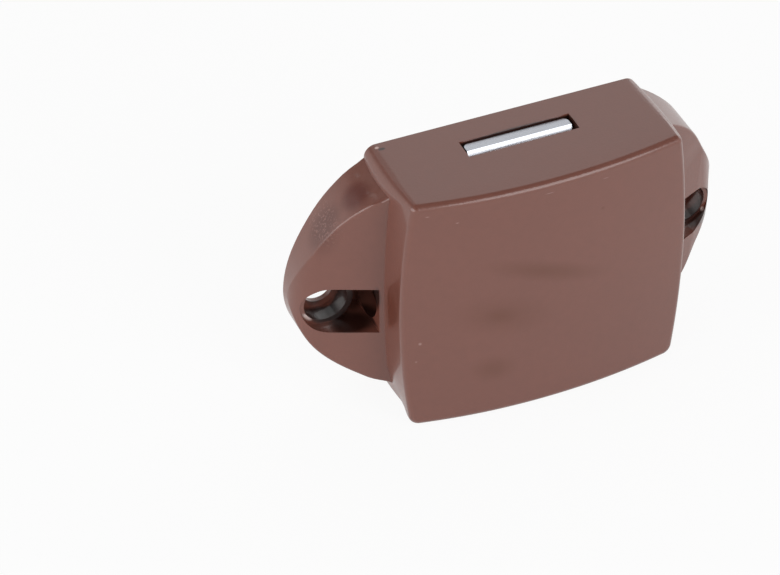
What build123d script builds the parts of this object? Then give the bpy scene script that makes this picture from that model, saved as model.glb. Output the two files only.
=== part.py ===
from build123d import *
import os
from math import cos, pi, radians, sin, sqrt

# A surface-mounted cabinet lock worked by a push-in, push-out knob, in millimetres.
# X runs along the lock, +Y towards the door, +Z is the way the bolt comes out.
# The origin is where the spindle's axis meets the mounting face, midway between the screws.
# The mounting face is the plane y = 0, so a depth d in front of it is at y = -d.
# It is drawn with the bolt drawn back and the spindle out.

# Moulded body, whose top face is a backset above the spindle and whose sides bow outwards,
# most at the cover and less behind it, where the corners are rounder
backset = 25.0
body_below_spindle = 18.6
body_middle_width = 50.2
side_bow = 1.8
side_depth = 17.2
root_inset = 0.15
root_side_bow = 0.95
back_inset = 0.7
back_side_bow = 1.0
cover_bulge = 2.7
wall = 1.8
bottom_corner_radius = 1.8
top_corner_radius = 1.2
root_top_corner_radius = 2.1
back_top_corner_radius = 1.9
cover_edge_radius = 1.1

# Mounting ears, which slope down from the body and end in a round nose
overall_length = 74.8
ear_centre_height = 1.1
ear_rise = 28.1
ear_drop = 21.2
ear_root_depth = 10.4
ear_tip_depth = 1.7
ear_nose_length = 3.2
ear_nose_drop = 4.4
ear_crease_radius = 0.5
ear_rib = 1.2
ear_upper_rib_heights = (10.5, 16.2)
ear_lower_rib_heights = (-9.2,)

# Screw pockets in the ears, level with the spindle
screw_spacing = 64.0
screw_hole_radius = 2.15
pocket_width = 8.7
pocket_floor = 0.9
pocket_end_wall = 0.6
pocket_wall = 1.2
screw_seat_radius = 3.6
screw_boss_radius = 4.6
screw_boss_depth = 4.3
side_window_radius = 4.0
side_window_depth = 5.0

# Latch bolt
stroke = 6.0
bolt_width = 18.0
bolt_thickness = 3.5
bolt_back_depth = 5.1
bolt_recess = 0.45
bolt_flat_tip = 1.8
bolt_bevel_height = 1.5
bolt_corner_radius = 0.9
bolt_foot = 3.1
wing_margin = 0.5
wing_height = 5.0
wing_bottom = -2.8
spigot_radius = 0.75
spigot_length = 2.5

# Plunger with its wedge and heart-shaped cam track
plunger_width = 9.0
plunger_back_depth = 2.0
plunger_front_depth = 11.5
plunger_top_rise = 5.8
plunger_heel_drop = 4.5
plunger_nose_length = 3.0
spring_bore_radius = 3.2
web_thickness = 2.0
track_depth = 1.2
track_width = 1.6
catch_swing = 20.0

# Spindle, its clip and the threaded barrel round it
spindle_radius = 3.0
spindle_reach = 10.0
spindle_neck_radius = 1.5
spindle_thread_radius = 1.65
spindle_thread_length = 8.0
clip_thickness = 0.6
clip_radius = 2.9
barrel_radius = 8.0
barrel_reach = 9.0
barrel_collar_radius = 8.4
barrel_relief_radius = 7.4
barrel_relief_length = 0.8
barrel_flange = 1.5
barrel_flange_thickness = 0.6
barrel_guide_length = 4.8
barrel_mouth_radius = 6.2

# Springs and the catch wire
plunger_spring_radius = 2.35
plunger_spring_wire = 0.35
plunger_spring_turns = 7
bolt_spring_radius = 1.2
bolt_spring_wire = 0.25
bolt_spring_turns = 7
spring_steps_per_turn = 12
spring_wire_sides = 6
catch_wire_radius = 0.5
catch_arm = 6.5
catch_tip_depth = 10.0
catch_leg_top = 12.0
catch_bend_radius = 0.7
leaf_thickness = 0.3
leaf_width = 4.6
leaf_reach = 4.2

# Back cover and its fixings
cover_thickness = 1.8
cover_boss_radius = 2.5
cover_boss_margin = 0.4
cover_screw_radius = 1.2
cover_screw_head_radius = 2.3
cover_screw_head_height = 1.1
cover_screw_length = 9.0
leaf_screw_radius = 0.85
leaf_screw_head_radius = 1.6
leaf_screw_head_height = 1.0
leaf_screw_length = 3.0
screw_slot_width = 0.5

# Ribs inside the body
guide_rib = 1.5
lower_guide_rib = 0.8

# Clearances
sliding_gap = 0.3
running_gap = 0.05
fitting_gap = 0.15
wedge_gap = 0.15

# Places worked out from the sizes above
body_height = backset + body_below_spindle
body_end_width = body_middle_width - 2 * side_bow
body_half_height = body_height / 2
side_radius = (body_half_height**2 + side_bow**2) / (2 * side_bow)
root_half_width = body_middle_width / 2 - root_inset
ear_root_x = root_half_width
pocket_end_centre = screw_spacing / 2
pocket_inner_end = root_half_width + pocket_end_wall
ear_inner_x = body_end_width / 2 - wall
body_middle = backset - body_half_height
full_depth = side_depth + cover_bulge
past_cover_bow = (side_bow - root_side_bow) * (cover_bulge + wall) / (side_depth - ear_root_depth)
half_length = overall_length / 2
inner_top = backset - wall
inner_bottom = backset - body_height + wall
inner_front = full_depth - wall
bolt_front_depth = bolt_back_depth + bolt_thickness
bolt_tip_height = backset - bolt_recess
plunger_top = plunger_top_rise
plunger_heel = -plunger_heel_drop
ramp_front_depth = plunger_front_depth - plunger_nose_length
plunger_nose = plunger_heel - (ramp_front_depth - plunger_back_depth)
web_front_depth = plunger_back_depth + web_thickness
bolt_bottom = plunger_nose - wedge_gap - bolt_foot
bolt_spring_depth = (bolt_back_depth + bolt_front_depth) / 2
guide_gap_x = bolt_width / 2 + sliding_gap
cover_boss_clear = wall + cover_boss_radius + cover_boss_margin
cover_boss_z = body_half_height - cover_boss_clear
cover_boss_bow = side_radius - sqrt(side_radius**2 - cover_boss_z**2)
cover_boss_x = body_middle_width / 2 - cover_boss_bow - cover_boss_clear
bolt_spring_x = (guide_gap_x + lower_guide_rib + cover_boss_x - cover_boss_radius) / 2
wing_tip_x = bolt_spring_x + bolt_spring_radius + bolt_spring_wire + wing_margin
plunger_side = plunger_width / 2 + sliding_gap
catch_pivot_depth = catch_tip_depth + catch_arm
catch_arm_height = plunger_top + 0.2 + catch_wire_radius
catch_block_bottom = catch_arm_height + catch_wire_radius + sliding_gap
catch_block_back = catch_pivot_depth - 1.9
leaf_screw_x = 2.2
leaf_screw_height = 10.2


def between(outline, start_depth, end_depth):
    # An outline drawn in X and Z, filled between two depths in front of the mounting face
    return extrude(Plane.XZ.offset(start_depth) * outline, amount=end_depth - start_depth)


def block(x_low, x_high, start_depth, end_depth, z_low, z_high):
    centre = ((x_low + x_high) / 2, -(start_depth + end_depth) / 2, (z_low + z_high) / 2)
    return Pos(*centre) * Box(x_high - x_low, end_depth - start_depth, z_high - z_low)


def rod_along_y(x, z, radius, start_depth, end_depth):
    return between(Pos(x, z) * Circle(radius), start_depth, end_depth)


def turned(profile_points, x, z):
    # A turned piece: radius and depth pairs, spun round a line along Y through x and z
    profile = make_face(Polyline(*[(r, -d) for r, d in profile_points], close=True))
    return Pos(x, 0, z) * revolve(profile, Axis.Y)


# Moulded body

def bowed_outline(half_middle, half_end, half_height):
    # Flat top and bottom, sides bowed like a barrel
    right = ThreePointArc((half_end, -half_height), (half_middle, 0), (half_end, half_height))
    top = Line((half_end, half_height), (-half_end, half_height))
    left = ThreePointArc((-half_end, half_height), (-half_middle, 0), (-half_end, -half_height))
    bottom = Line((-half_end, -half_height), (half_end, -half_height))
    return Pos(0, body_middle) * make_face([right, top, left, bottom])


def body_outline(inset=0.0):
    return bowed_outline(body_middle_width / 2 - inset, body_end_width / 2 - inset,
                         body_half_height - inset)


def body_section(half_middle, bow, top_radius):
    # One section of the outside, with its corners rounded
    outline = bowed_outline(half_middle, half_middle - bow, body_half_height)
    outline = fillet(outline.vertices().group_by(Axis.Y)[0], bottom_corner_radius)
    return fillet(outline.vertices().group_by(Axis.Y)[-1], top_radius)


def cover_form(inset=0.0):
    # Everything behind the bowed cover, whose curve is a cylinder along Z
    half_chord = (body_end_width + body_middle_width) / 4
    bow_radius = (half_chord**2 + cover_bulge**2) / (2 * cover_bulge)
    bow_centre = bow_radius - full_depth
    reach = body_middle_width / 2 + wall
    radius = bow_radius - inset
    side = bow_centre - sqrt(radius**2 - reach**2)
    plan = make_face([
        Line((-reach, 0), (reach, 0)),
        Line((reach, 0), (reach, side)),
        ThreePointArc((reach, side), (0, bow_centre - radius), (-reach, side)),
        Line((-reach, side), (-reach, 0)),
    ])
    return extrude(Plane.XY.offset(-body_height) * plan, amount=2 * body_height)


def body_form():
    # Its section changes from the mounting face by the ears' roots to the cover's edge and past it
    half_middle = body_middle_width / 2
    past_cover = full_depth + wall
    sections = [
        (0, half_middle - back_inset, back_side_bow, back_top_corner_radius),
        (ear_root_depth, root_half_width, root_side_bow, root_top_corner_radius),
        (side_depth, half_middle, side_bow, top_corner_radius),
        (past_cover, half_middle, side_bow + past_cover_bow, top_corner_radius),
    ]
    solid = loft([Plane.XZ.offset(depth) * body_section(*shape) for depth, *shape in sections])
    solid = solid & cover_form()
    front = solid.faces().sort_by(Axis.Y)[0]
    return fillet(front.edges(), cover_edge_radius)


def body_cavity():
    return between(body_outline(wall), 0, full_depth) & cover_form(wall)


# Mounting ears

def ear_outline(inset=0.0):
    # Two quarter ellipses of unequal height, joined at the tip
    half_width = half_length - inset
    quarter_box = Rectangle(half_width, ear_rise + ear_drop, align=(Align.MIN, Align.CENTER))
    upper = Ellipse(half_width, ear_rise - inset) & Pos(0, (ear_rise + ear_drop) / 2) * quarter_box
    lower = Ellipse(half_width, ear_drop - inset) & Pos(0, -(ear_rise + ear_drop) / 2) * quarter_box
    return Pos(0, ear_centre_height) * (upper + lower)


def ear_slope(inset=0.0):
    # Everything behind the ear's sloping face, which ends in a nose and runs straight on into the body
    nose = (half_length - ear_nose_length, -ear_tip_depth - ear_nose_drop + inset)
    root = (ear_root_x, -ear_root_depth + inset)
    tip = (half_length, -ear_tip_depth + inset)
    slope = (nose[1] - root[1]) / (nose[0] - root[0])
    inner = (ear_inner_x, root[1] - slope * (ear_root_x - ear_inner_x))
    behind = 2 * wall
    plan = make_face([
        Line((ear_inner_x, behind), inner),
        Line(inner, nose),
        TangentArc(nose, tip, tangent=(1, slope)),
        Line(tip, (half_length, behind)),
        Line((half_length, behind), (ear_inner_x, behind)),
    ])
    return extrude(Plane.XY.offset(-body_height) * plan, amount=2 * body_height)


def pocket_outline(margin=0.0):
    # Straight sides, square beside the body and round at the outer end, where the screw is
    half_width = pocket_width / 2 + margin
    inner_end = pocket_inner_end - margin
    straight = Rectangle(pocket_end_centre - inner_end, 2 * half_width, align=(Align.MIN, Align.CENTER))
    return Pos(inner_end, 0) * straight + Pos(pocket_end_centre, 0) * Circle(half_width)


def ear(body):
    form = between(ear_outline(), 0, full_depth) & ear_slope()
    crease = [edge for edge in form.edges()
              if edge.geom_type != GeomType.LINE and edge.center().Y < -ear_tip_depth / 2]
    form = fillet(crease, ear_crease_radius)
    # The ear is cored out from behind, round the pocket's own wall and between ribs
    core = between(ear_outline(wall), 0, full_depth) & ear_slope(wall)
    core = core - between(pocket_outline(pocket_wall), 0, full_depth)
    for height in ear_upper_rib_heights + ear_lower_rib_heights:
        core = core - block(0, half_length, 0, full_depth, height - ear_rib / 2, height + ear_rib / 2)
    core = core - body
    pocket = between(pocket_outline(), pocket_floor, full_depth) - body
    seat = (screw_spacing / 2, 0)
    boss = rod_along_y(*seat, screw_boss_radius, 0, screw_boss_depth)
    boss = boss & between(pocket_outline(pocket_wall), 0, screw_boss_depth) & ear_slope()
    solid = form - core - pocket + boss
    solid = solid - rod_along_y(*seat, screw_seat_radius, pocket_floor, screw_boss_depth + wall)
    return solid - rod_along_y(*seat, screw_hole_radius, -wall, pocket_floor + wall)


# Inner walls of the body

def cover_boss_places():
    # One in each corner, clear of the bowed side by the same margin as of the top and bottom
    return [(side * cover_boss_x, body_middle + end * cover_boss_z) for side in (-1, 1) for end in (-1, 1)]


def guide_ribs():
    # Ribs beside the bolt, ribs in front of it that also guide the plunger, and a rest under its nose
    rib = guide_rib
    wing_top = wing_bottom + wing_height + stroke + sliding_gap
    ribs = Part()
    for side in (-1, 1):
        near = side * guide_gap_x
        far = side * (guide_gap_x + rib)
        x_low = min(near, far)
        x_high = max(near, far)
        ribs += block(x_low, x_high, cover_thickness, inner_front, wing_top, inner_top)
        thin = side * (guide_gap_x + lower_guide_rib)
        ribs += block(min(near, thin), max(near, thin), cover_thickness, inner_front,
                      inner_bottom, wing_bottom - spigot_length)
        near = side * plunger_side
        far = side * (plunger_side + rib)
        ribs += block(min(near, far), max(near, far), bolt_front_depth + sliding_gap, inner_front,
                      inner_bottom, inner_top)
    rest_top = plunger_nose - sliding_gap
    ribs += block(-plunger_side, plunger_side, bolt_front_depth + sliding_gap, inner_front,
                  rest_top - rib, rest_top)
    return ribs


def catch_block():
    # Holds the catch wire's upright leg and the leaf spring over it
    return block(-plunger_side, plunger_side, catch_block_back, inner_front,
                 catch_block_bottom, catch_leg_top + 1.0)


def make_housing():
    body = body_form()
    cavity = body_cavity()
    inner = guide_ribs() + catch_block()
    for x, z in cover_boss_places():
        inner += rod_along_y(x, z, cover_boss_radius, cover_thickness, full_depth)
    inner += rod_along_y(0, 0, spindle_neck_radius, inner_front - 2.1, full_depth)
    for side in (-1, 1):
        post = Pos(side * bolt_spring_x, -bolt_spring_depth, inner_bottom)
        inner += post * Cylinder(spigot_radius, 5.0, align=(Align.CENTER, Align.CENTER, Align.MIN))
    right_ear = ear(body)
    solid = body + right_ear + mirror(right_ear, about=Plane.YZ)
    solid = solid - (cavity - inner)
    slot_half = bolt_width / 2 + 0.5
    solid = solid - block(-slot_half, slot_half, bolt_back_depth - sliding_gap,
                          bolt_front_depth + sliding_gap, inner_top - wall, body_height)
    for x, z in cover_boss_places():
        solid = solid - rod_along_y(x, z, cover_screw_radius + running_gap, 0, cover_screw_length + 1)
    leg_hole = Pos(0, -catch_pivot_depth, catch_block_bottom - 1)
    leg_hole_length = catch_leg_top + 1 - catch_block_bottom + 0.3
    solid = solid - leg_hole * Cylinder(catch_wire_radius + running_gap, leg_hole_length,
                                        align=(Align.CENTER, Align.CENTER, Align.MIN))
    solid = solid - rod_along_y(leaf_screw_x, leaf_screw_height, leaf_screw_radius + running_gap,
                                catch_block_back - 1, catch_block_back + leaf_screw_length + 0.3)
    window = Pos(0, -side_window_depth, 0) * Rot(0, 90, 0) * Cylinder(
        side_window_radius, 2 * pocket_inner_end + wall)
    window_zone = block(body_end_width / 2 - wall, pocket_inner_end + 0.2, pocket_floor,
                        side_depth, -pocket_width / 2, pocket_width / 2)
    window_zone += mirror(window_zone, about=Plane.YZ)
    return solid - (window & window_zone)


# Back cover

def make_back_cover():
    plate = between(body_outline(wall + fitting_gap), 0, cover_thickness)
    rib_x = plunger_side + 2.3
    flange_edge = barrel_radius + barrel_flange + 1.2
    for side in (-1, 1):
        for low, high in ((flange_edge, inner_top - sliding_gap),
                          (inner_bottom + sliding_gap, -flange_edge)):
            x_low = min(side * (rib_x - 0.6), side * (rib_x + 0.6))
            plate += block(x_low, x_low + 1.2, cover_thickness, bolt_back_depth - sliding_gap, low, high)
    plate = plate - rod_along_y(0, 0, barrel_collar_radius + running_gap, -1, cover_thickness + 1)
    plate = plate - rod_along_y(0, 0, barrel_radius + barrel_flange + 0.1,
                                cover_thickness - barrel_flange_thickness, cover_thickness + 1)
    for x, z in cover_boss_places():
        sink = [(0, -0.01), (cover_screw_head_radius + 0.1, -0.01),
                (cover_screw_head_radius + 0.1, 0.05),
                (cover_screw_radius + 0.1, cover_screw_head_height + 0.05),
                (cover_screw_radius + 0.1, cover_thickness + 1), (0, cover_thickness + 1)]
        plate = plate - turned(sink, x, z)
    return plate


def cross_recess(size, depth_at, x, z):
    arm = Rectangle(size, screw_slot_width) + Rectangle(screw_slot_width, size)
    return between(Pos(x, z) * arm, depth_at - 0.1, depth_at + 0.55)


def make_cover_screws():
    screws = Part()
    for x, z in cover_boss_places():
        profile = [(0, 0.05), (cover_screw_head_radius, 0.05),
                   (cover_screw_radius, cover_screw_head_height + 0.05),
                   (cover_screw_radius, cover_screw_length - 0.9), (0, cover_screw_length)]
        screws += turned(profile, x, z) - cross_recess(2.4, 0.05, x, z)
    return screws


# Latch bolt

def make_latch_bolt():
    half = bolt_width / 2
    plate = block(-half, half, bolt_back_depth, bolt_front_depth, bolt_bottom, bolt_tip_height)
    tip_corners = plate.edges().filter_by(Axis.Z)
    plate = fillet(tip_corners, bolt_corner_radius)
    # Bevel on the cover's side of the tip
    flat_end = bolt_back_depth + bolt_flat_tip
    bevel = make_face(Polyline(
        (-flat_end, bolt_tip_height),
        (-bolt_front_depth - 0.01, bolt_tip_height - bolt_bevel_height),
        (-bolt_front_depth - 0.01, bolt_tip_height + 1),
        (-flat_end, bolt_tip_height + 1),
        close=True,
    ))
    plate = plate - extrude(Plane.YZ * bevel, amount=bolt_width, both=True)
    for side in (-1, 1):
        inner = side * (half - bolt_corner_radius)
        outer = side * wing_tip_x
        wing = block(min(inner, outer), max(inner, outer), bolt_back_depth, bolt_front_depth,
                     wing_bottom, wing_bottom + wing_height)
        plate += wing
        spigot = Pos(side * bolt_spring_x, -bolt_spring_depth, wing_bottom)
        plate += spigot * Cylinder(spigot_radius, spigot_length,
                                   align=(Align.CENTER, Align.CENTER, Align.MAX))
    # Window for the plunger, whose lower edge is the ramp that the wedge slides on
    window_half = plunger_width / 2 + sliding_gap + 0.1
    ramp_back_depth = bolt_back_depth + 1.9
    ramp_low = plunger_heel - (bolt_front_depth - plunger_back_depth) - wedge_gap
    ramp_high = plunger_heel - (ramp_back_depth - plunger_back_depth) - wedge_gap
    window = make_face(Polyline(
        (-bolt_front_depth - 1, plunger_top + 0.4),
        (-bolt_front_depth - 1, ramp_low),
        (-bolt_front_depth, ramp_low),
        (-ramp_back_depth, ramp_high),
        (-bolt_back_depth + 1, ramp_high),
        (-bolt_back_depth + 1, plunger_top + 0.4),
        close=True,
    ))
    return plate - extrude(Plane.YZ * window, amount=window_half, both=True)


# Plunger

def lane(start, end):
    middle = ((start[0] + end[0]) / 2, (start[1] + end[1]) / 2)
    return SlotCenterPoint(middle, end, track_width)


def cam_track():
    # Drawn in X and Y: a chamber, a lane each way round the heart, and its catching notch
    swing = radians(catch_swing)
    chamber = (0, -catch_tip_depth)
    lane_x = catch_arm * sin(swing)
    lane_y = -(catch_pivot_depth - catch_arm * cos(swing) - stroke)
    notch = (0, lane_y - 0.9)
    track = Pos(*chamber) * Circle(track_width * 0.7)
    for side in (-1, 1):
        lane_end = (side * lane_x, lane_y)
        track += lane(chamber, lane_end)
        track += lane(lane_end, notch)
    return extrude(Plane.XY.offset(plunger_top - track_depth) * track, amount=track_depth + 1)


def make_cam_plunger():
    side_view = make_face(Polyline(
        (-plunger_back_depth, plunger_heel),
        (-ramp_front_depth, plunger_nose),
        (-plunger_front_depth, plunger_nose),
        (-plunger_front_depth, plunger_top),
        (-plunger_back_depth, plunger_top),
        close=True,
    ))
    solid = extrude(Plane.YZ * side_view, amount=plunger_width / 2, both=True)
    solid = solid - rod_along_y(0, 0, spring_bore_radius, web_front_depth, plunger_front_depth + 1)
    solid = solid - rod_along_y(0, 0, spindle_neck_radius + running_gap, 0, web_front_depth + 1)
    return solid - cam_track()


# Spindle, clip and barrel

def make_spindle():
    neck_end = web_front_depth + 2 * clip_thickness
    chamfer_size = 0.4
    profile = [
        (0, neck_end),
        (spindle_neck_radius, neck_end),
        (spindle_neck_radius, plunger_back_depth),
        (spindle_radius, plunger_back_depth),
        (spindle_radius, chamfer_size - spindle_reach),
        (spindle_radius - chamfer_size, -spindle_reach),
        (spindle_thread_radius, -spindle_reach),
        (spindle_thread_radius, spindle_thread_length - spindle_reach),
        (0, spindle_thread_length - spindle_reach + spindle_thread_radius * 0.6),
    ]
    return turned(profile, 0, 0)


def make_spindle_clip():
    ring = Circle(clip_radius) - Circle(spindle_neck_radius + 0.02)
    return between(ring, web_front_depth, web_front_depth + clip_thickness)


def make_threaded_barrel():
    bore = spindle_radius + running_gap
    chamfer_size = 0.5
    flange_back = cover_thickness - barrel_flange_thickness
    guide_end = barrel_guide_length - cover_thickness
    profile = [
        (bore, cover_thickness),
        (barrel_radius + barrel_flange, cover_thickness),
        (barrel_radius + barrel_flange, flange_back),
        (barrel_collar_radius, flange_back),
        (barrel_collar_radius, 0),
        (barrel_relief_radius, 0),
        (barrel_relief_radius, -barrel_relief_length),
        (barrel_radius, -barrel_relief_length),
        (barrel_radius, chamfer_size - barrel_reach),
        (barrel_radius - chamfer_size, -barrel_reach),
        (barrel_mouth_radius, -barrel_reach),
        (barrel_mouth_radius, -guide_end),
        (bore, -guide_end),
    ]
    return turned(profile, 0, 0)


# Springs and the catch

def coil_spring(mean_radius, wire_radius, length, turns):
    # Stands on z = 0 and is as tall as its length, drawn in short straight steps
    rise = length - 2 * wire_radius
    steps = spring_steps_per_turn * turns
    points = []
    for step in range(steps + 1):
        angle = 2 * pi * step / spring_steps_per_turn
        points.append((mean_radius * cos(angle), mean_radius * sin(angle), rise * step / steps))
    path = Polyline(*points)
    section = Plane(origin=path @ 0, z_dir=path % 0) * RegularPolygon(wire_radius, spring_wire_sides)
    return Pos(0, 0, wire_radius) * sweep(section, path=path, transition=Transition.RIGHT)


def make_bolt_spring(side):
    length = wing_bottom - inner_bottom - 0.1
    spring = coil_spring(bolt_spring_radius, bolt_spring_wire, length, bolt_spring_turns)
    return Pos(side * bolt_spring_x, -bolt_spring_depth, inner_bottom + 0.05) * spring


def make_plunger_spring():
    start = web_front_depth + clip_thickness + 0.05
    length = inner_front - start - 0.05
    spring = coil_spring(plunger_spring_radius, plunger_spring_wire, length, plunger_spring_turns)
    return Pos(0, -start, 0) * Rot(90, 0, 0) * spring


def make_catch_wire():
    tip_end = plunger_top - track_depth + sliding_gap
    path = FilletPolyline(
        (0, -catch_tip_depth, tip_end),
        (0, -catch_tip_depth, catch_arm_height),
        (0, -catch_pivot_depth, catch_arm_height),
        (0, -catch_pivot_depth, catch_leg_top),
        radius=catch_bend_radius,
    )
    return sweep(Plane(origin=path @ 0, z_dir=path % 0) * Circle(catch_wire_radius), path=path)


def make_catch_leaf_spring():
    x_low = leaf_screw_x - leaf_width / 2 - 0.9
    x_high = x_low + leaf_width
    blade_bottom = catch_arm_height + catch_wire_radius + 0.15
    tab_back = catch_block_back - leaf_thickness
    tab = block(x_low, x_high, tab_back, catch_block_back, blade_bottom, catch_leg_top + 0.5)
    blade = block(x_low, x_high, catch_block_back - leaf_reach, catch_block_back,
                  blade_bottom, blade_bottom + leaf_thickness)
    hole = rod_along_y(leaf_screw_x, leaf_screw_height, leaf_screw_radius + running_gap,
                       tab_back - 1, catch_block_back + 1)
    return tab + blade - hole


def make_catch_spring_screw():
    seat = catch_block_back - leaf_thickness
    profile = [
        (0, seat - leaf_screw_head_height),
        (leaf_screw_head_radius - 0.3, seat - leaf_screw_head_height),
        (leaf_screw_head_radius, seat - leaf_screw_head_height + 0.3),
        (leaf_screw_head_radius, seat),
        (leaf_screw_radius, seat),
        (leaf_screw_radius, catch_block_back + leaf_screw_length - 0.6),
        (0, catch_block_back + leaf_screw_length),
    ]
    screw = turned(profile, leaf_screw_x, leaf_screw_height)
    return screw - cross_recess(1.8, seat - leaf_screw_head_height, leaf_screw_x, leaf_screw_height)


pieces = {
    "housing": make_housing(),
    "back_cover": make_back_cover(),
    "cover_screws": make_cover_screws(),
    "latch_bolt": make_latch_bolt(),
    "bolt_spring_left": make_bolt_spring(-1),
    "bolt_spring_right": make_bolt_spring(1),
    "cam_plunger": make_cam_plunger(),
    "spindle": make_spindle(),
    "spindle_clip": make_spindle_clip(),
    "threaded_barrel": make_threaded_barrel(),
    "plunger_spring": make_plunger_spring(),
    "catch_wire": make_catch_wire(),
    "catch_leaf_spring": make_catch_leaf_spring(),
    "catch_spring_screw": make_catch_spring_screw(),
}

os.makedirs("parts", exist_ok=True)
for name, piece in pieces.items():
    export_step(piece, f"parts/{name}.step")
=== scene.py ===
import math

import bpy
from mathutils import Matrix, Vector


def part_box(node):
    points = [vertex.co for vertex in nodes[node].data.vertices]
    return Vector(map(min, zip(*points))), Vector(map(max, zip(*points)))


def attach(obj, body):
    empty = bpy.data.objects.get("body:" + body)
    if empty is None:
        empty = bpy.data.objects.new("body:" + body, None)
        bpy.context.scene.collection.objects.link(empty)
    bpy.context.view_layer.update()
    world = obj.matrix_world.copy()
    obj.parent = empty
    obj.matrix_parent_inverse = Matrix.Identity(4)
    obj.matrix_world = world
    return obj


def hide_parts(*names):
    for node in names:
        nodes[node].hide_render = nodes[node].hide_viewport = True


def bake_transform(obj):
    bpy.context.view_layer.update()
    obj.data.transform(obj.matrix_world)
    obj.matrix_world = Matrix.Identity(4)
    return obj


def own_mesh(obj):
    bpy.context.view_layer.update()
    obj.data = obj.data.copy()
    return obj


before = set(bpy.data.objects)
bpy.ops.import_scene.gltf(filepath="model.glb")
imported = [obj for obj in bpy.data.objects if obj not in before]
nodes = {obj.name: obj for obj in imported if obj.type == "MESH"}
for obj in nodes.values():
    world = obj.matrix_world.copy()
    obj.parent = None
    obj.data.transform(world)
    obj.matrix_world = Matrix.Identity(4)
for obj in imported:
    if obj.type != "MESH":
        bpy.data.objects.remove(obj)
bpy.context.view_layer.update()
print("frame loaded")

mm = 0.001


# small helpers for shader nodes

def plug(tree, value, socket):
    # a link when the value comes from another node, otherwise a plain number or colour
    if isinstance(value, bpy.types.NodeSocket):
        tree.links.new(value, socket)
    else:
        socket.default_value = value


def addNode(tree, kind, inputs=None, **settings):
    node = tree.nodes.new(kind)
    for name, value in settings.items():
        setattr(node, name, value)
    for name, value in (inputs or {}).items():
        plug(tree, value, node.inputs[name])
    return node


def addMath(tree, operation, *values):
    return addNode(tree, "ShaderNodeMath", dict(enumerate(values)), operation=operation).outputs[0]


def addVectorMath(tree, operation, *values):
    return addNode(tree, "ShaderNodeVectorMath", dict(enumerate(values)), operation=operation)


def addNoise(tree, place, scale, detail):
    inputs = {"Vector": place, "Scale": scale, "Detail": detail}
    return addNode(tree, "ShaderNodeTexNoise", inputs).outputs["Fac"]


def objectPlace(tree):
    return addNode(tree, "ShaderNodeTexCoord").outputs["Object"]


# camera and stage

cameraView = {
    "place": (-0.21875, -0.45976, 0.40351),
    "down": 39.16,
    "turn": -23.473,
    "lens": 185.39,
    "sensor": 36,
    "nearest": 0.01,
}
floorPlan = {
    "size": 4.0, "height": -19.3 * mm,
    "colour": (0.93, 0.93, 0.93, 1), "roughness": 0.8, "specular": 0.1,
    "whiteShare": 0.92, "mirroredShare": 0.65,
}
worldLight = {"strength": 0.32, "seenWhite": 1.0, "ceiling": 0.2, "ceilingEdge": (0.25, 0.6)}
softLamps = [
    {"name": "frontSoftbox", "place": (0.25, -0.62, 0.34), "size": 0.52, "power": 2.2},
    {"name": "leftSoftbox", "place": (-0.66, -0.36, 0.27), "size": 0.34, "power": 0.9},
    {"name": "sideSoftbox", "place": (-0.74, 0.02, 0.20), "size": 0.60, "power": 2.0},
    {"name": "backLeftSoftbox", "place": (-0.13, 0.60, 0.52), "size": 0.30, "power": 0.14},
    {"name": "backSoftbox", "place": (0.26, 0.58, 0.52), "size": 0.50, "power": 0.5},
    {"name": "rightSoftbox", "place": (0.78, 0.28, 0.16), "size": 0.80, "power": 2.3},
]


def makeCamera():
    bpy.ops.object.camera_add(location=cameraView["place"])
    camera = bpy.context.object
    camera.name = "photoCamera"
    camera.rotation_euler = (math.radians(90 - cameraView["down"]), 0, math.radians(cameraView["turn"]))
    camera.data.lens = cameraView["lens"]
    camera.data.sensor_width = cameraView["sensor"]
    camera.data.clip_start = cameraView["nearest"]
    bpy.context.scene.camera = camera


def makeLamps():
    for lamp in softLamps:
        bpy.ops.object.light_add(type="AREA", location=lamp["place"])
        light = bpy.context.object
        light.name = lamp["name"]
        light.data.shape = "DISK"
        light.data.size = lamp["size"]
        light.data.energy = lamp["power"]
        toCentre = light.location * -1
        light.rotation_euler = toCentre.to_track_quat("-Z", "Y").to_euler()


def makeWorld():
    # white where it is seen, softer as a light, and mirrored white up to a dim ceiling
    world = bpy.data.worlds.new("paleStudio")
    bpy.context.scene.world = world
    world.use_nodes = True
    tree = world.node_tree
    tree.nodes.clear()
    path = addNode(tree, "ShaderNodeLightPath")
    seen = addMath(tree, "MAXIMUM", path.outputs["Is Camera Ray"], path.outputs["Is Transmission Ray"])
    direction = addNode(tree, "ShaderNodeTexCoord").outputs["Generated"]
    height = addNode(tree, "ShaderNodeSeparateXYZ", {0: direction}).outputs["Z"]
    dimFrom, dimTo = worldLight["ceilingEdge"]
    mirrored = addNode(tree, "ShaderNodeMapRange", {
        "Value": height, "From Min": dimFrom, "From Max": dimTo,
        "To Min": worldLight["seenWhite"], "To Max": worldLight["ceiling"],
    }, interpolation_type="SMOOTHSTEP")
    lit = addNode(tree, "ShaderNodeMix", {
        "Factor": path.outputs["Is Glossy Ray"], "A": worldLight["strength"], "B": mirrored.outputs["Result"],
    })
    shown = addNode(tree, "ShaderNodeMix", {
        "Factor": seen, "A": lit.outputs["Result"], "B": worldLight["seenWhite"],
    })
    background = addNode(tree, "ShaderNodeBackground", {
        "Color": (1, 1, 1, 1), "Strength": shown.outputs["Result"],
    })
    addNode(tree, "ShaderNodeOutputWorld", {"Surface": background.outputs[0]})


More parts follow.
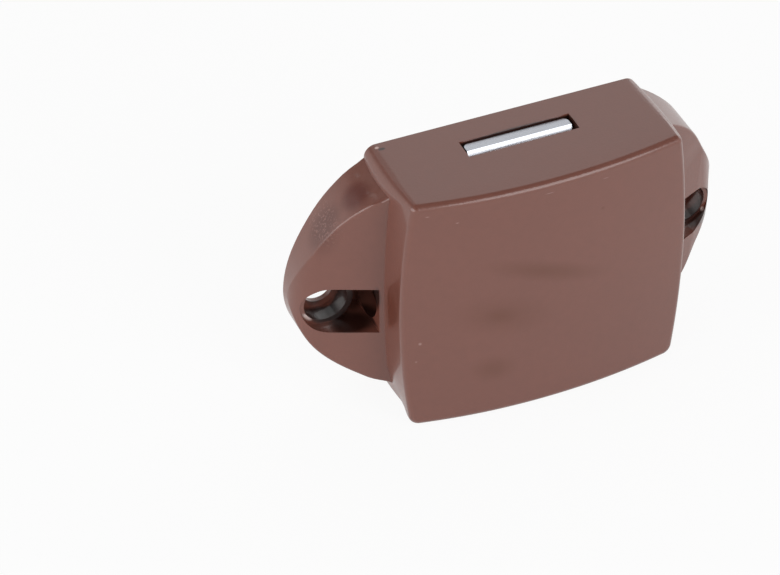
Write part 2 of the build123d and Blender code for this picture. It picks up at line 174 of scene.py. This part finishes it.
def makeFloor():
    # its own pale colour as a surface, nearly white where it is seen or mirrored
    bpy.ops.mesh.primitive_plane_add(size=floorPlan["size"], location=(0, 0, floorPlan["height"]))
    floor = bpy.context.object
    floor.name = "paleFloor"
    material = bpy.data.materials.new("paleFloor")
    material.use_nodes = True
    tree = material.node_tree
    shader = tree.nodes["Principled BSDF"]
    shader.inputs["Base Color"].default_value = floorPlan["colour"]
    shader.inputs["Roughness"].default_value = floorPlan["roughness"]
    shader.inputs["Specular IOR Level"].default_value = floorPlan["specular"]
    path = addNode(tree, "ShaderNodeLightPath")
    seen = addMath(tree, "MULTIPLY", path.outputs["Is Camera Ray"], floorPlan["whiteShare"])
    share = addMath(tree, "MULTIPLY_ADD", path.outputs["Is Glossy Ray"], floorPlan["mirroredShare"], seen)
    white = addNode(tree, "ShaderNodeEmission", {"Strength": 1.0})
    mix = addNode(tree, "ShaderNodeMixShader", {0: share, 1: shader.outputs[0], 2: white.outputs[0]})
    plug(tree, mix.outputs[0], tree.nodes["Material Output"].inputs["Surface"])
    floor.data.materials.append(material)


bpy.ops.object.select_all(action="DESELECT")
bpy.context.scene.view_settings.view_transform = "Standard"
makeCamera()
makeLamps()
makeWorld()
makeFloor()
print("camera, lamps and floor ready")


# effects that several finishes share

def newGroup(name, inputs, outputs):
    group = bpy.data.node_groups.new(name, "ShaderNodeTree")
    for socketName, kind, value in inputs:
        socket = group.interface.new_socket(name=socketName, in_out="INPUT", socket_type=kind)
        socket.default_value = value
    for socketName, kind in outputs:
        group.interface.new_socket(name=socketName, in_out="OUTPUT", socket_type=kind)
    return group, group.nodes.new("NodeGroupInput").outputs, group.nodes.new("NodeGroupOutput").inputs


def makeMottleGroup():
    # broad and fine cloudiness that lightens and darkens a colour a little
    group, given, result = newGroup(
        "mottle",
        [("Colour", "NodeSocketColor", (0.5, 0.5, 0.5, 1)), ("Broad Scale", "NodeSocketFloat", 60),
         ("Fine Scale", "NodeSocketFloat", 700), ("Amount", "NodeSocketFloat", 0.06)],
        [("Colour", "NodeSocketColor"), ("Cloud", "NodeSocketFloat")])
    place = objectPlace(group)
    broad = addNoise(group, place, given["Broad Scale"], 3)
    fine = addNoise(group, place, given["Fine Scale"], 2)
    centred = addMath(group, "SUBTRACT", addMath(group, "ADD", broad, fine), 1.0)
    brightness = addMath(group, "MULTIPLY_ADD", centred, given["Amount"], 1.0)
    tinted = addVectorMath(group, "SCALE", given["Colour"])
    plug(group, brightness, tinted.inputs["Scale"])
    plug(group, tinted.outputs[0], result["Colour"])
    plug(group, centred, result["Cloud"])
    return group


def makeSpeckGroup():
    # sparse specks of dust, a mask between 0 and 1
    group, given, result = newGroup(
        "specks",
        [("Scale", "NodeSocketFloat", 400), ("Size", "NodeSocketFloat", 0.12),
         ("Share", "NodeSocketFloat", 0.05)],
        [("Mask", "NodeSocketFloat")])
    cells = addNode(group, "ShaderNodeTexVoronoi", {"Vector": objectPlace(group), "Scale": given["Scale"]})
    near = addMath(group, "LESS_THAN", cells.outputs["Distance"], given["Size"])
    pick = addNode(group, "ShaderNodeSeparateColor", {0: cells.outputs["Color"]})
    chosen = addMath(group, "LESS_THAN", pick.outputs[0], given["Share"])
    plug(group, addMath(group, "MULTIPLY", near, chosen), result["Mask"])
    return group


def makeSpotGroup():
    # one oval with a soft edge, turned round the depth direction, a mask between 0 and 1
    group, given, result = newGroup(
        "softSpot",
        [("Centre", "NodeSocketVector", (0, 0, 0)), ("Reach", "NodeSocketVector", (0.001, 0.001, 0.001)),
         ("Turn", "NodeSocketFloat", 0), ("Core", "NodeSocketFloat", 0.2), ("Share", "NodeSocketFloat", 1)],
        [("Mask", "NodeSocketFloat")])
    away = addVectorMath(group, "SUBTRACT", objectPlace(group), given["Centre"])
    turned = addNode(group, "ShaderNodeVectorRotate", {
        "Vector": away.outputs[0], "Angle": given["Turn"],
    }, rotation_type="Y_AXIS")
    scaled = addVectorMath(group, "DIVIDE", turned.outputs[0], given["Reach"])
    distance = addVectorMath(group, "LENGTH", scaled.outputs[0])
    fade = addNode(group, "ShaderNodeMapRange", {
        "Value": distance.outputs["Value"], "From Min": given["Core"], "From Max": 1,
        "To Min": given["Share"], "To Max": 0,
    }, interpolation_type="SMOOTHSTEP")
    plug(group, fade.outputs["Result"], result["Mask"])
    return group


def makeSkinGroup():
    # the fine skin and slow waves that a moulding takes from its die, as a height
    group, given, result = newGroup(
        "mouldedSkin",
        [("Scale", "NodeSocketFloat", 2600), ("Waviness", "NodeSocketFloat", 0.5)],
        [("Height", "NodeSocketFloat")])
    waveScale = 110
    place = objectPlace(group)
    skin = addNoise(group, place, given["Scale"], 4)
    waves = addNoise(group, place, waveScale, 1)
    plug(group, addMath(group, "MULTIPLY_ADD", waves, given["Waviness"], skin), result["Height"])
    return group


def makeToolMarksGroup():
    # fine parallel lines left by drawing or turning metal, stretched along one direction
    group, given, result = newGroup(
        "toolMarks",
        [("Stretch", "NodeSocketVector", (60, 4000, 4000)), ("Amount", "NodeSocketFloat", 0.2),
         ("Roughness", "NodeSocketFloat", 0.3)],
        [("Height", "NodeSocketFloat"), ("Roughness", "NodeSocketFloat")])
    stretched = addVectorMath(group, "MULTIPLY", objectPlace(group), given["Stretch"])
    lines = addNoise(group, stretched.outputs[0], 1, 3)
    centred = addMath(group, "SUBTRACT", lines, 0.5)
    rough = addMath(group, "MULTIPLY_ADD", centred, given["Amount"], given["Roughness"])
    plug(group, lines, result["Height"])
    plug(group, rough, result["Roughness"])
    return group


mottle = makeMottleGroup()
specks = makeSpeckGroup()
softSpot = makeSpotGroup()
mouldedSkin = makeSkinGroup()
toolMarks = makeToolMarksGroup()
print("shared effects ready")


# finishes

def newFinish(name):
    material = bpy.data.materials.new(name)
    material.use_nodes = True
    return material, material.node_tree, material.node_tree.nodes["Principled BSDF"]


def addGroup(tree, group, values):
    return addNode(tree, "ShaderNodeGroup", values, node_tree=group)


def addBump(tree, shader, height, distance, strength):
    bump = addNode(tree, "ShaderNodeBump", {"Distance": distance, "Strength": strength, "Height": height})
    plug(tree, bump.outputs["Normal"], shader.inputs["Normal"])


def addSpot(tree, spot):
    return addGroup(tree, softSpot, {
        "Centre": [value * mm for value in spot["centre"]],
        "Reach": [value * mm for value in spot["reach"]],
        "Turn": math.radians(spot.get("turn", 0)),
        "Core": spot.get("core", 0.1),
        "Share": spot["share"],
    }).outputs["Mask"]


def paintOver(tree, mask, colour, tint):
    inputs = {"Factor": mask, "A": colour, "B": tint}
    return addNode(tree, "ShaderNodeMix", inputs, data_type="RGBA").outputs["Result"]


def addPits(tree, pits, colour, height):
    # small dots inside one soft spot, with a tint of their own and some depth
    edgeFrom, edgeTo = pits["edge"]
    grain = addNoise(tree, objectPlace(tree), pits["scale"], pits["detail"])
    dots = addNode(tree, "ShaderNodeMapRange", {"Value": grain, "From Min": edgeFrom, "From Max": edgeTo})
    deep = addMath(tree, "MULTIPLY", addSpot(tree, pits), dots.outputs["Result"])
    pitted = addMath(tree, "MULTIPLY_ADD", deep, pits["depth"], height)
    return paintOver(tree, deep, colour, pits["tint"]), pitted


def mouldedPlastic(name, look, marks=(), pits=None):
    material, tree, shader = newFinish(name)
    cloud = addGroup(tree, mottle, {"Colour": look["colour"], "Amount": look["cloudiness"]})
    dust = addGroup(tree, specks, {
        "Scale": look["speckScale"], "Size": look["speckSize"], "Share": look["speckShare"],
    })
    colour = paintOver(tree, dust.outputs["Mask"], cloud.outputs["Colour"], look["speckColour"])
    # the listed marks are painted over the colour: real smears and specks, and painted shade and painted
    # highlights
    for mark in marks:
        colour = paintOver(tree, addSpot(tree, mark), colour, mark["tint"])
    skin = addGroup(tree, mouldedSkin, {"Scale": look["skinScale"], "Waviness": look["waviness"]})
    height = skin.outputs["Height"]
    if pits:
        colour, height = addPits(tree, pits, colour, height)
    rough = addMath(tree, "MULTIPLY_ADD", cloud.outputs["Cloud"], look["roughSpread"], look["roughness"])
    plug(tree, colour, shader.inputs["Base Color"])
    plug(tree, rough, shader.inputs["Roughness"])
    shader.inputs["IOR"].default_value = look["ior"]
    shader.inputs["Coat Weight"].default_value = look["coat"]
    shader.inputs["Coat Roughness"].default_value = look["coatRoughness"]
    addBump(tree, shader, height, look["skinDepth"], look["skinStrength"])
    return material


def machinedMetal(name, look):
    material, tree, shader = newFinish(name)
    cloud = addGroup(tree, mottle, {
        "Colour": look["colour"], "Amount": look["cloudiness"],
        "Broad Scale": look["broadScale"], "Fine Scale": look["fineScale"],
    })
    marks = addGroup(tree, toolMarks, {
        "Stretch": look["stretch"], "Amount": look["roughSpread"], "Roughness": look["roughness"],
    })
    plug(tree, cloud.outputs["Colour"], shader.inputs["Base Color"])
    plug(tree, marks.outputs["Roughness"], shader.inputs["Roughness"])
    shader.inputs["Metallic"].default_value = 1.0
    addBump(tree, shader, marks.outputs["Height"], look["markDepth"], look["markStrength"])
    return material


bodyLook = {
    "colour": (0.190, 0.066, 0.046, 1), "cloudiness": 0.10,
    "speckScale": 260, "speckSize": 0.1, "speckShare": 0.004, "speckColour": (0.42, 0.27, 0.23, 1),
    "roughness": 0.32, "roughSpread": 0.08, "ior": 1.5, "coat": 0.45, "coatRoughness": 0.06,
    "skinScale": 2400, "waviness": 2.0, "skinDepth": 0.00006, "skinStrength": 0.25,
}
coverLook = dict(bodyLook, colour=(0.15, 0.062, 0.049, 1), roughness=0.5, coat=0.0, skinStrength=0.5)
acetalLook = dict(bodyLook, colour=(0.72, 0.69, 0.62, 1), cloudiness=0.05, speckShare=0.0,
                  roughness=0.38, coat=0.0)
boltLook = {
    "colour": (0.47, 0.485, 0.525, 1), "cloudiness": 0.10, "broadScale": 150, "fineScale": 1400,
    "roughness": 0.26, "roughSpread": 0.25,
    "stretch": (90, 5000, 5000), "markDepth": 0.00003, "markStrength": 0.5,
}
steelLook = dict(boltLook, colour=(0.56, 0.56, 0.57, 1), roughness=0.3, stretch=(2500, 2500, 2500))
screwLook = dict(boltLook, colour=(0.62, 0.62, 0.63, 1), roughness=0.28, stretch=(3000, 3000, 3000))
brassLook = dict(boltLook, colour=(0.75, 0.56, 0.26, 1), roughness=0.24, stretch=(300, 6000, 300))
barrelLook = dict(boltLook, colour=(0.68, 0.67, 0.64, 1), roughness=0.25, stretch=(300, 6000, 300))

# tints of the marks on the housing: real smears, specks and pits, and painted shade and painted highlights
darkSmear = (0.135, 0.036, 0.015, 1)
# painted shade on the left side and the left ear's rim
sidePaintedShade = (0.14, 0.035, 0.018, 1)
earRootPaintedShade = (0.10, 0.012, 0.003, 1)
earRimPaintedShade = (0.10, 0.020, 0.010, 1)
# painted shade inside the screw pockets, on their floors and in the window
pocketPaintedShade = (0.012, 0.008, 0.008, 1)
leftFloorPaintedShade = (0.015, 0.004, 0.003, 1)
rightFloorPaintedShade = (0.03, 0.010, 0.008, 1)
windowPaintedShade = (0.012, 0.006, 0.005, 1)
# painted shade in the bolt's slot
slotPaintedShade = (0.02, 0.008, 0.006, 1)
# painted shade and painted highlight of the corner pit
cornerPitPaintedShade = (0.03, 0.008, 0.006, 1)
cornerPitPaintedHighlight = (0.75, 0.55, 0.5, 1)
# painted highlight on the pockets' lips
lipPaintedHighlight = (0.80, 0.66, 0.62, 1)
paleSpeck = (0.42, 0.27, 0.24, 1)
pitTint = (0.27, 0.12, 0.09, 1)

# marks, painted shade and painted highlights on the housing, with centre and reach in millimetres, painted in
# this order
housingMarksAndPaintedLight = [
    # smears on the front
    {"centre": (-1.0, -19.8, 7.6), "reach": (14.0, 3, 2.6), "turn": -20, "core": 0,
     "tint": darkSmear, "share": 0.7},
    {"centre": (-8.3, -19.5, 0.6), "reach": (11.0, 3, 5.0), "turn": -15, "core": 0,
     "tint": darkSmear, "share": 0.5},
    {"centre": (-8.6, -19.5, 0.7), "reach": (3.6, 3, 2.0), "turn": -15, "core": 0,
     "tint": darkSmear, "share": 0.6},
    {"centre": (-9.6, -19.4, -9.9), "reach": (5.0, 3, 3.4), "turn": -15, "core": 0,
     "tint": darkSmear, "share": 0.6},
    {"centre": (8.7, -19.5, 16.9), "reach": (0.5, 1, 0.4), "tint": darkSmear, "share": 0.5},
    # painted shade on the left side and on the upper rim of the left ear, standing in for the dark
    # surroundings they mirror
    {"centre": (-25.0, -13.2, 2.0), "reach": (1.5, 3.0, 5.0), "core": 0.5,
     "tint": sidePaintedShade, "share": 0.45},
    {"centre": (-27.2, -5.6, 20.2), "reach": (3.8, 3.6, 3.2), "core": 0.35,
     "tint": earRootPaintedShade, "share": 0.9},
    {"centre": (-32.3, -4.4, 15.0), "reach": (4.8, 3.9, 6.0), "core": 0.3,
     "tint": earRimPaintedShade, "share": 0.85},
    # painted shade inside the screw pockets
    {"centre": (-29.6, -4.0, 0), "reach": (5.8, 3.4, 4.9), "core": 0.85,
     "tint": pocketPaintedShade, "share": 0.9},
    {"centre": (-32.6, -3.0, -0.8), "reach": (3.4, 2.7, 4.6), "core": 0.8,
     "tint": pocketPaintedShade, "share": 0.9},
    {"centre": (29.6, -4.0, 0), "reach": (5.8, 3.4, 4.9), "core": 0.85,
     "tint": pocketPaintedShade, "share": 0.9},
    {"centre": (-28.6, -6.2, -3.8), "reach": (6.4, 4.5, 0.9), "core": 0.7,
     "tint": leftFloorPaintedShade, "share": 0.92},
    {"centre": (33.0, -4.6, -3.2), "reach": (3.4, 2.6, 1.8), "core": 0.6,
     "tint": rightFloorPaintedShade, "share": 0.75},
    # painted shade in the window between the left pocket and the body
    {"centre": (-25.5, -7.2, 2.6), "reach": (1.2, 3.6, 4.4), "core": 0.7,
     "tint": windowPaintedShade, "share": 0.9},
    {"centre": (-25.2, -4.6, 0.5), "reach": (2.6, 4.0, 4.6), "core": 0.8,
     "tint": windowPaintedShade, "share": 0.9},
    # painted highlights on the pockets' outer lips
    {"centre": (-35.3, -4.6, -2.3), "reach": (0.55, 0.9, 1.5), "turn": 40, "core": 0.4,
     "tint": lipPaintedHighlight, "share": 0.85},
    {"centre": (34.8, -4.3, -2.4), "reach": (0.4, 0.7, 0.7), "core": 0.4,
     "tint": lipPaintedHighlight, "share": 0.8},
    # painted shade on the walls of the bolt's slot
    {"centre": (0, -4.7, 24.1), "reach": (14, 0.5, 1.0), "core": 0.8,
     "tint": slotPaintedShade, "share": 0.9},
    {"centre": (9.6, -6.8, 24.1), "reach": (0.6, 4, 1.0), "core": 0.8,
     "tint": slotPaintedShade, "share": 0.8},
    # specks and scratches on the front
    {"centre": (-21.6, -17.6, -2.2), "reach": (0.4, 0.6, 0.4), "tint": paleSpeck, "share": 0.6},
    {"centre": (-22.2, -17.4, -5.8), "reach": (0.3, 0.5, 0.3), "tint": paleSpeck, "share": 0.35},
    {"centre": (-15.9, -18.6, 21.0), "reach": (0.4, 0.6, 0.15), "tint": paleSpeck, "share": 0.6},
    {"centre": (-20.6, -17.8, 23.0), "reach": (0.5, 0.6, 0.12), "tint": paleSpeck, "share": 0.5},
    {"centre": (-0.8, -19.9, 23.0), "reach": (1.1, 0.6, 0.12), "tint": paleSpeck, "share": 0.5},
    {"centre": (9.0, -19.5, 22.7), "reach": (0.8, 0.6, 0.12), "tint": paleSpeck, "share": 0.4},
    # small pit at the top's back left corner, with its shade and its lit rim painted
    {"centre": (-21.2, -1.6, 25.0), "reach": (0.75, 0.42, 1), "core": 0.5,
     "tint": cornerPitPaintedShade, "share": 0.95},
    {"centre": (-21.8, -1.0, 25.0), "reach": (0.45, 0.38, 1), "core": 0.4,
     "tint": cornerPitPaintedHighlight, "share": 0.8},
]
rimPits = {
    "centre": (-32.0, -3.5, 15.5), "reach": (3.6, 6, 4.4), "core": 0.4, "share": 0.6,
    "scale": 2600, "detail": 2, "edge": (0.55, 0.64), "depth": -2.0, "tint": pitTint,
}
bodyPlastic = mouldedPlastic("bodyPlastic", bodyLook, housingMarksAndPaintedLight, rimPits)
coverPlastic = mouldedPlastic("coverPlastic", coverLook)
plungerAcetal = mouldedPlastic("plungerAcetal", acetalLook)
boltZinc = machinedMetal("boltZinc", boltLook)
springSteel = machinedMetal("springSteel", steelLook)
screwSteel = machinedMetal("screwSteel", screwLook)
spindleBrass = machinedMetal("spindleBrass", brassLook)
barrelNickel = machinedMetal("barrelNickel", barrelLook)
print("finishes ready")


# tools for making pieces

mergeWithin = 0.002 * mm
faceWeight = 60


def onlySelect(piece):
    bpy.ops.object.select_all(action="DESELECT")
    piece.select_set(True)
    bpy.context.view_layer.objects.active = piece


def mergedCopy(nodeName, pieceName):
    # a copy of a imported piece, its loose triangles joined
    mesh = nodes[nodeName].data.copy()
    mesh.name = pieceName
    piece = bpy.data.objects.new(pieceName, mesh)
    bpy.context.scene.collection.objects.link(piece)
    onlySelect(piece)
    bpy.ops.object.mode_set(mode="EDIT")
    bpy.ops.mesh.select_all(action="SELECT")
    bpy.ops.mesh.remove_doubles(threshold=mergeWithin)
    bpy.ops.mesh.customdata_custom_splitnormals_clear()
    bpy.ops.object.mode_set(mode="OBJECT")
    return piece


def closeEnds(piece, sides):
    onlySelect(piece)
    bpy.ops.object.mode_set(mode="EDIT")
    bpy.ops.mesh.select_all(action="SELECT")
    bpy.ops.mesh.remove_doubles(threshold=mergeWithin)
    bpy.ops.mesh.fill_holes(sides=sides)
    bpy.ops.mesh.select_all(action="SELECT")
    bpy.ops.mesh.normals_make_consistent(inside=False)
    bpy.ops.object.mode_set(mode="OBJECT")


def applyModifier(piece, kind, **settings):
    onlySelect(piece)
    modifier = piece.modifiers.new(kind.title(), kind)
    for name, value in settings.items():
        setattr(modifier, name, value)
    bpy.ops.object.modifier_apply(modifier=modifier.name)


def smoothByAngle(piece, degrees):
    onlySelect(piece)
    bpy.ops.object.shade_smooth_by_angle(angle=math.radians(degrees))
    applyModifier(piece, "WEIGHTED_NORMAL", keep_sharp=True, weight=faceWeight)


def dress(piece, material, slotName, bodyName, *replacedNodes):
    piece.data.materials.clear()
    piece.data.materials.append(material)
    if bodyName:
        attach(piece, bodyName)
    if replacedNodes:
        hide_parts(*replacedNodes)


# housing

# small departures of the real moulding from the plain form, in millimetres and degrees
# a pair gives where a move sets in and over how far it fades
housingEase = {
    "bodyEdge": 27.0, "bodyFade": 2.0, "frontDepth": 17.0,
    "lowerFront": 0.69, "lowerFrontFrom": -4.0, "lowerEdge": -18.6,
    "cornerPull": 1.09, "cornerAcross": (17, 6), "cornerBelow": (-11, 6.6),
    "cornerBehind": (-17, 5), "cornerAhead": (-0.2, 4),
    "leftFront": 0.55, "leftAcross": (-8.0, 16.0),
    "bodySide": 25.1, "earReach": (12.3, 25.0), "earCentre": 1.1, "earRim": (0.5, 0.4), "earRoot": (25, 1.5),
    "earAngles": (-90, -60, -30, 0, 30, 60, 90),
    "leftEar": (0.9, 1.3, 0.8, 0.2, -0.15, 0.25, 0.35),
    "rightEar": (0, -1.1, -1.5, -0.65, -1.1, -0.25, 0),
    "screwX": 32.0, "screwHole": 2.3, "holeScale": 1.18,
    "smoothAngle": 28,
}


def limited(value):
    return min(1, max(0, value))


def smoothStep(value):
    value = limited(value)
    return value * value * (3 - 2 * value)


def above(value, start, over):
    return smoothStep((value - start) / over)


def below(value, start, over):
    return smoothStep((start - value) / over)


def between(angle, angles, moves):
    # a smooth curve through evenly spaced values
    for index in range(len(angles) - 1):
        if angle <= angles[index + 1]:
            share = (angle - angles[index]) / (angles[index + 1] - angles[index])
            first, last = moves[max(0, index - 1)], moves[min(len(moves) - 1, index + 2)]
            start, end = moves[index], moves[index + 1]
            slope = end - first
            bend = 2 * first - 5 * start + 4 * end - last
            twist = 3 * start - first - 3 * end + last
            return start + (slope + (bend + twist * share) * share) * share / 2
    return moves[-1]


def easeHousing(piece, ease):
    for vertex in piece.data.vertices:
        x, y, z = (value / mm for value in vertex.co)
        side = -1 if x < 0 else 1
        across = abs(x)
        inBody = limited((ease["bodyEdge"] - across) / ease["bodyFade"])
        forward = limited(-y / ease["frontDepth"])

        # the lower front edge drops
        depth = ease["lowerFrontFrom"] - ease["lowerEdge"]
        low = limited((ease["lowerFrontFrom"] - z) / depth)
        newZ = z - inBody * low * forward * ease["lowerFront"]

        # the lower back corners draw in, and so does the left front edge
        corner = above(across, *ease["cornerAcross"]) * below(z, *ease["cornerBelow"]) * inBody
        corner *= above(y, *ease["cornerBehind"]) * below(y, *ease["cornerAhead"])
        newX = x - side * corner * ease["cornerPull"]
        newX += below(x, *ease["leftAcross"]) * inBody * forward * ease["leftFront"]

        # each ear's outline swells or shrinks
        outward = max(0, across - ease["bodySide"]) / ease["earReach"][0]
        upward = (z - ease["earCentre"]) / ease["earReach"][1]
        reach = math.hypot(outward, upward)
        share = above(reach, *ease["earRim"]) * above(across, *ease["earRoot"])
        if share > 0:
            moves = ease["leftEar"] if side < 0 else ease["rightEar"]
            angle = math.degrees(math.atan2(upward, outward))
            swell = share * between(angle, ease["earAngles"], moves)
            newX += side * swell * outward / reach
            newZ += swell * upward / reach

        # the screw holes widen
        if math.hypot(across - ease["screwX"], z) < ease["screwHole"]:
            newX += (ease["holeScale"] - 1) * (x - side * ease["screwX"])
            newZ += (ease["holeScale"] - 1) * z
        vertex.co = (newX * mm, y * mm, newZ * mm)


housing = mergedCopy("housing", "housingMoulding")
easeHousing(housing, housingEase)
smoothByAngle(housing, housingEase["smoothAngle"])
dress(housing, bodyPlastic, "body_plastic", "case", "housing")
print("housing made")


# latch bolt

boltShape = {
    "flatAngle": 1.0, "edge": 0.16 * mm, "edgeAngle": 30, "segments": 3, "smoothAngle": 40,
    "bevelDrop": 0.8, "bevelReach": (-6.9, -8.6), "bevelFloor": 22.5,
}


def steepenBevel(piece, shape):
    # the front edge of the tip's bevel sits a little lower
    start, end = shape["bevelReach"]
    for vertex in piece.data.vertices:
        if vertex.co.z > shape["bevelFloor"] * mm:
            share = max(0, (start - vertex.co.y / mm) / (start - end))
            vertex.co.z -= share * shape["bevelDrop"] * mm


bolt = mergedCopy("latch_bolt", "latchBoltBar")
steepenBevel(bolt, boltShape)
bpy.ops.object.mode_set(mode="EDIT")
bpy.ops.mesh.select_all(action="SELECT")
bpy.ops.mesh.dissolve_limited(angle_limit=math.radians(boltShape["flatAngle"]))
bpy.ops.object.mode_set(mode="OBJECT")
applyModifier(bolt, "BEVEL", width=boltShape["edge"], segments=boltShape["segments"],
              limit_method="ANGLE", angle_limit=math.radians(boltShape["edgeAngle"]))
smoothByAngle(bolt, boltShape["smoothAngle"])
dress(bolt, boltZinc, "bolt_metal", "bolt", "latch_bolt")
print("latch bolt made")


# threaded barrel

threadShape = {
    "outside": 8.0, "core": 7.45, "coreFrom": 0.7, "wall": 0.7,
    "pitch": 1.0, "start": 1.15, "turns": 7, "steps": 72,
    "sunk": 0.15, "root": 0.42, "crest": 0.08, "endSides": 6, "smoothAngle": 30,
}


def makeBarrel():
    # the outside is turned down to the thread's core
    barrel = mergedCopy("threaded_barrel", "barrelTurning")
    outside = threadShape["outside"]
    for vertex in barrel.data.vertices:
        radius = math.hypot(vertex.co.x, vertex.co.z) / mm
        vertex.select = vertex.co.y > threadShape["coreFrom"] * mm and radius > outside - threadShape["wall"]
    bpy.ops.object.mode_set(mode="EDIT")
    shrink = threadShape["core"] / outside
    bpy.ops.transform.resize(value=(shrink, 1, shrink), center_override=(0, 0, 0))
    bpy.ops.object.mode_set(mode="OBJECT")
    smoothByAngle(barrel, threadShape["smoothAngle"])
    return barrel


def makeThread():
    # one closed section, screwed round the barrel's axis
    bpy.ops.object.select_all(action="DESELECT")
    bpy.ops.mesh.primitive_plane_add(size=1)
    thread = bpy.context.object
    thread.name = "barrelThread"
    inner = (threadShape["core"] - threadShape["sunk"]) * mm
    outer = threadShape["outside"] * mm
    start = threadShape["start"] * mm
    for vertex in thread.data.vertices:
        half = threadShape["root"] if vertex.co.x < 0 else threadShape["crest"]
        side = -1 if vertex.co.y < 0 else 1
        vertex.co.x = inner if vertex.co.x < 0 else outer
        vertex.co.y = start + side * half * mm
    onlySelect(thread)
    bpy.ops.object.mode_set(mode="EDIT")
    bpy.ops.mesh.select_all(action="SELECT")
    bpy.ops.mesh.delete(type="ONLY_FACE")
    bpy.ops.object.mode_set(mode="OBJECT")
    applyModifier(thread, "SCREW", axis="Y", angle=2 * math.pi, screw_offset=threadShape["pitch"] * mm,
                  iterations=threadShape["turns"], steps=threadShape["steps"],
                  render_steps=threadShape["steps"])
    closeEnds(thread, threadShape["endSides"])
    smoothByAngle(thread, threadShape["smoothAngle"])
    return thread


barrel = makeBarrel()
thread = makeThread()
dress(barrel, barrelNickel, "barrel_metal", "case", "threaded_barrel")
dress(thread, barrelNickel, "barrel_metal", "case")
print("threaded barrel made")


# coil springs

springCoil = {"turns": 7, "steps": 28, "smoothAngle": 50}
springWires = [
    {"name": "leftBoltSpring", "node": "bolt_spring_left", "axis": "Z", "wire": 0.25, "sides": 10},
    {"name": "rightBoltSpring", "node": "bolt_spring_right", "axis": "Z", "wire": 0.25, "sides": 10},
    {"name": "plungerSpring", "node": "plunger_spring", "axis": "Y", "wire": 0.35, "sides": 12},
]


def makeSpring(shape):
    # a ring of wire, screwed along the spring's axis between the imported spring's ends
    low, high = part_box(shape["node"])
    wire = shape["wire"] * mm
    upright = shape["axis"] == "Z"
    centre = (low + high) / 2
    coilRadius = (high.x - low.x) / 2 - wire
    length = (high.z - low.z if upright else high.y - low.y) - 2 * wire
    bpy.ops.object.select_all(action="DESELECT")
    bpy.ops.mesh.primitive_circle_add(vertices=shape["sides"], radius=wire)
    spring = bpy.context.object
    spring.name = shape["name"]
    for vertex in spring.data.vertices:
        across, along = vertex.co.x, vertex.co.y
        vertex.co = (coilRadius + across, 0, along) if upright else (coilRadius + across, along, 0)
    applyModifier(spring, "SCREW", axis=shape["axis"], angle=2 * math.pi,
                  screw_offset=length / springCoil["turns"], iterations=springCoil["turns"],
                  steps=springCoil["steps"], render_steps=springCoil["steps"])
    closeEnds(spring, shape["sides"] + 2)
    start = (centre.x, centre.y, low.z + wire) if upright else (centre.x, low.y + wire, centre.z)
    spring.location = start
    onlySelect(spring)
    bpy.ops.object.transform_apply(location=True, rotation=False, scale=False)
    smoothByAngle(spring, springCoil["smoothAngle"])
    dress(spring, springSteel, "spring_steel", None if upright else "case", shape["node"])
    if upright:
        # its top end goes up with the bolt
        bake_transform(spring)
    else:
        # the plunger presses it together
        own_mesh(spring)


for shape in springWires:
    makeSpring(shape)
print("springs made")


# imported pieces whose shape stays

finishOfNode = {
    "back_cover": coverPlastic,
    "cover_screws": screwSteel,
    "cam_plunger": plungerAcetal,
    "spindle": spindleBrass,
    "spindle_clip": springSteel,
    "catch_wire": springSteel,
    "catch_leaf_spring": springSteel,
    "catch_spring_screw": screwSteel,
}
for nodeName, material in finishOfNode.items():
    nodes[nodeName].data.materials.clear()
    nodes[nodeName].data.materials.append(material)
print("packed pieces finished")

bpy.ops.object.select_all(action="DESELECT")
